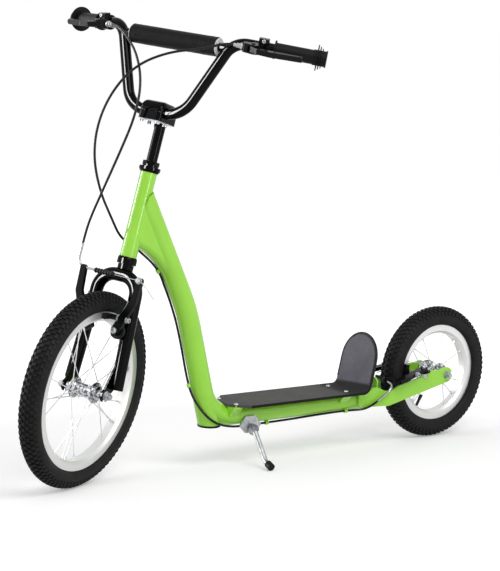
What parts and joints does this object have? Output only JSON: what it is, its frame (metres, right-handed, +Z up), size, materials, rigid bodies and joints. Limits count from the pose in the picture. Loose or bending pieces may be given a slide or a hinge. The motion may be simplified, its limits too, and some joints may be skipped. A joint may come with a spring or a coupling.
{
  "type": "kick scooter",
  "caption": "Child's kick scooter with spoked wheels, V-brakes worked by two levers, riser bar with pad, low deck and kickstand.",
  "frame": {"origin": "centre of the bounding box, on the ground", "axes": "+X forward along the scooter, +Y to its left, +Z up; it stands on its kickstand, leaning to +Y, with the bar turned to the left"},
  "size_m": [1.2799, 0.54, 0.9573],
  "materials": {
    "frame_paint": "gloss",
    "black_paint": "gloss",
    "black_alloy": "satin",
    "deck_grip": "matte",
    "tyre_rubber": "matte",
    "inner_rubber": "matte",
    "grip_rubber": "matte",
    "pad_foam": "matte",
    "rim_alloy": "satin",
    "zinc": "satin",
    "bright_steel": "polished",
    "housing": "satin"
  },
  "bodies": {
    "frame": {"head_tube": "frame_paint", "down_tube": "frame_paint", "front_skirt": "frame_paint", "skirt_trim": "inner_rubber", "left_stay": "frame_paint", "right_stay": "frame_paint", "stay_bridge": "frame_paint", "deck_brackets": "frame_paint", "deck_board": "deck_grip", "deck_screws": "zinc", "headset_cups": "black_paint", "kickstand_bracket": "zinc", "rear_axle": "zinc", "rear_axle_nuts": "zinc", "rear_brake_studs": "zinc", "cable_clips": "frame_paint", "rear_brake_cable_lower": "housing"},
    "steering": {"fork_blades": "black_paint", "fork_steerer": "black_paint", "headset_bearings": "black_paint", "headset_locknut": "black_paint", "front_axle": "zinc", "front_axle_nuts": "zinc", "front_brake_studs": "zinc", "rear_brake_cable_upper": "housing"},
    "handlebar": {"stem": "black_paint", "stem_cap": "black_paint", "stem_hardware": "bright_steel", "quill_wedge": "zinc", "handlebar": "black_paint", "bar_pad": "pad_foam", "grips": "grip_rubber", "lever_brackets": "black_alloy", "barrel_adjusters": "bright_steel", "front_brake_cable_upper": "housing"},
    "front_wheel": {"front_tyre": "tyre_rubber", "front_inner_tube": "inner_rubber", "front_rim": "rim_alloy", "front_spokes": "bright_steel", "front_hub": "bright_steel"},
    "rear_wheel": {"rear_tyre": "tyre_rubber", "rear_inner_tube": "inner_rubber", "rear_rim": "rim_alloy", "rear_spokes": "bright_steel", "rear_hub": "bright_steel"},
    "left_lever": {"left_brake_lever": "black_alloy"},
    "right_lever": {"right_brake_lever": "black_alloy"},
    "front_left_brake": {"front_left_arm": "black_alloy", "front_left_pad": "inner_rubber"},
    "front_right_brake": {"front_right_arm": "black_alloy", "front_right_pad": "inner_rubber", "front_noodle": "bright_steel", "front_brake_cable_lower": "housing"},
    "rear_left_brake": {"rear_left_arm": "black_alloy", "rear_left_pad": "inner_rubber", "rear_noodle": "bright_steel"},
    "rear_right_brake": {"rear_right_arm": "black_alloy", "rear_right_pad": "inner_rubber"},
    "kickstand": {"kickstand_leg": "zinc", "kickstand_foot": "inner_rubber"}
  },
  "joints": [
    {"name": "steering_turn", "type": "hinge", "parent": "frame", "child": "steering", "pos_m": [0.34124, -0.00569, 0.52618], "axis": [-0.2419, 0.0761, 0.9673], "range_deg": [-75, 25], "deforming": ["rear_brake_cable_upper"]},
    {"name": "handlebar_height", "type": "slide", "parent": "steering", "child": "handlebar", "axis": [-0.2419, 0.0761, 0.9673], "range_m": [-0.04, 0.025], "deforming": ["front_brake_cable_upper", "rear_brake_cable_upper"]},
    {"name": "front_wheel_spin", "type": "hinge", "parent": "steering", "child": "front_wheel", "pos_m": [0.45819, -0.01624, 0.19443], "axis": [-0.4101, 0.8955, -0.173], "continuous": true},
    {"name": "rear_wheel_spin", "type": "hinge", "parent": "frame", "child": "rear_wheel", "pos_m": [-0.48797, -0.03517, 0.15161], "axis": [0, 0.9969, -0.0785], "continuous": true},
    {"name": "left_lever_pull", "type": "hinge", "parent": "handlebar", "child": "left_lever", "pos_m": [0.2058, 0.19173, 0.85295], "axis": [0.0285, 0.3174, 0.9479], "range_deg": [0, 12], "stiffness_Nm_per_rad": 0.4, "springref_deg": -17.19},
    {"name": "right_lever_pull", "type": "hinge", "parent": "handlebar", "child": "right_lever", "pos_m": [0.34997, -0.12309, 0.91378], "axis": [-0.1175, -0.123, -0.9854], "range_deg": [0, 12], "stiffness_Nm_per_rad": 0.4, "springref_deg": -17.19},
    {"name": "front_left_arm_turn", "type": "hinge", "parent": "steering", "child": "front_left_brake", "pos_m": [0.41722, 0.03067, 0.31178], "axis": [0.8794, 0.4385, 0.1854], "range_deg": [0, 2.7]},
    {"name": "front_right_arm_turn", "type": "hinge", "parent": "steering", "child": "front_right_brake", "pos_m": [0.44879, -0.03828, 0.32511], "axis": [-0.8794, -0.4385, -0.1854], "range_deg": [0, 2.7], "deforming": ["front_brake_cable_lower"]},
    {"name": "rear_left_arm_turn", "type": "hinge", "parent": "frame", "child": "rear_left_brake", "pos_m": [-0.41676, 0.01058, 0.16565], "axis": [-0.2079, -0.0767, -0.9751], "range_deg": [0, 1.9], "deforming": ["rear_brake_cable_lower"]},
    {"name": "rear_right_arm_turn", "type": "hinge", "parent": "frame", "child": "rear_right_brake", "pos_m": [-0.41676, -0.07815, 0.17263], "axis": [0.2079, 0.0767, 0.9751], "range_deg": [0, 1.9]},
    {"name": "kickstand_fold", "type": "hinge", "parent": "frame", "child": "kickstand", "pos_m": [0.053, -0.01022, 0.07342], "axis": [0, 0.6985, 0.7156], "range_deg": [0, 90]}
  ],
  "couplings": [
    {"joint": "front_left_arm_turn", "follows": "right_lever_pull", "ratio": 0.225},
    {"joint": "front_right_arm_turn", "follows": "right_lever_pull", "ratio": 0.225},
    {"joint": "rear_left_arm_turn", "follows": "left_lever_pull", "ratio": 0.15833},
    {"joint": "rear_right_arm_turn", "follows": "left_lever_pull", "ratio": 0.15833}
  ]
}
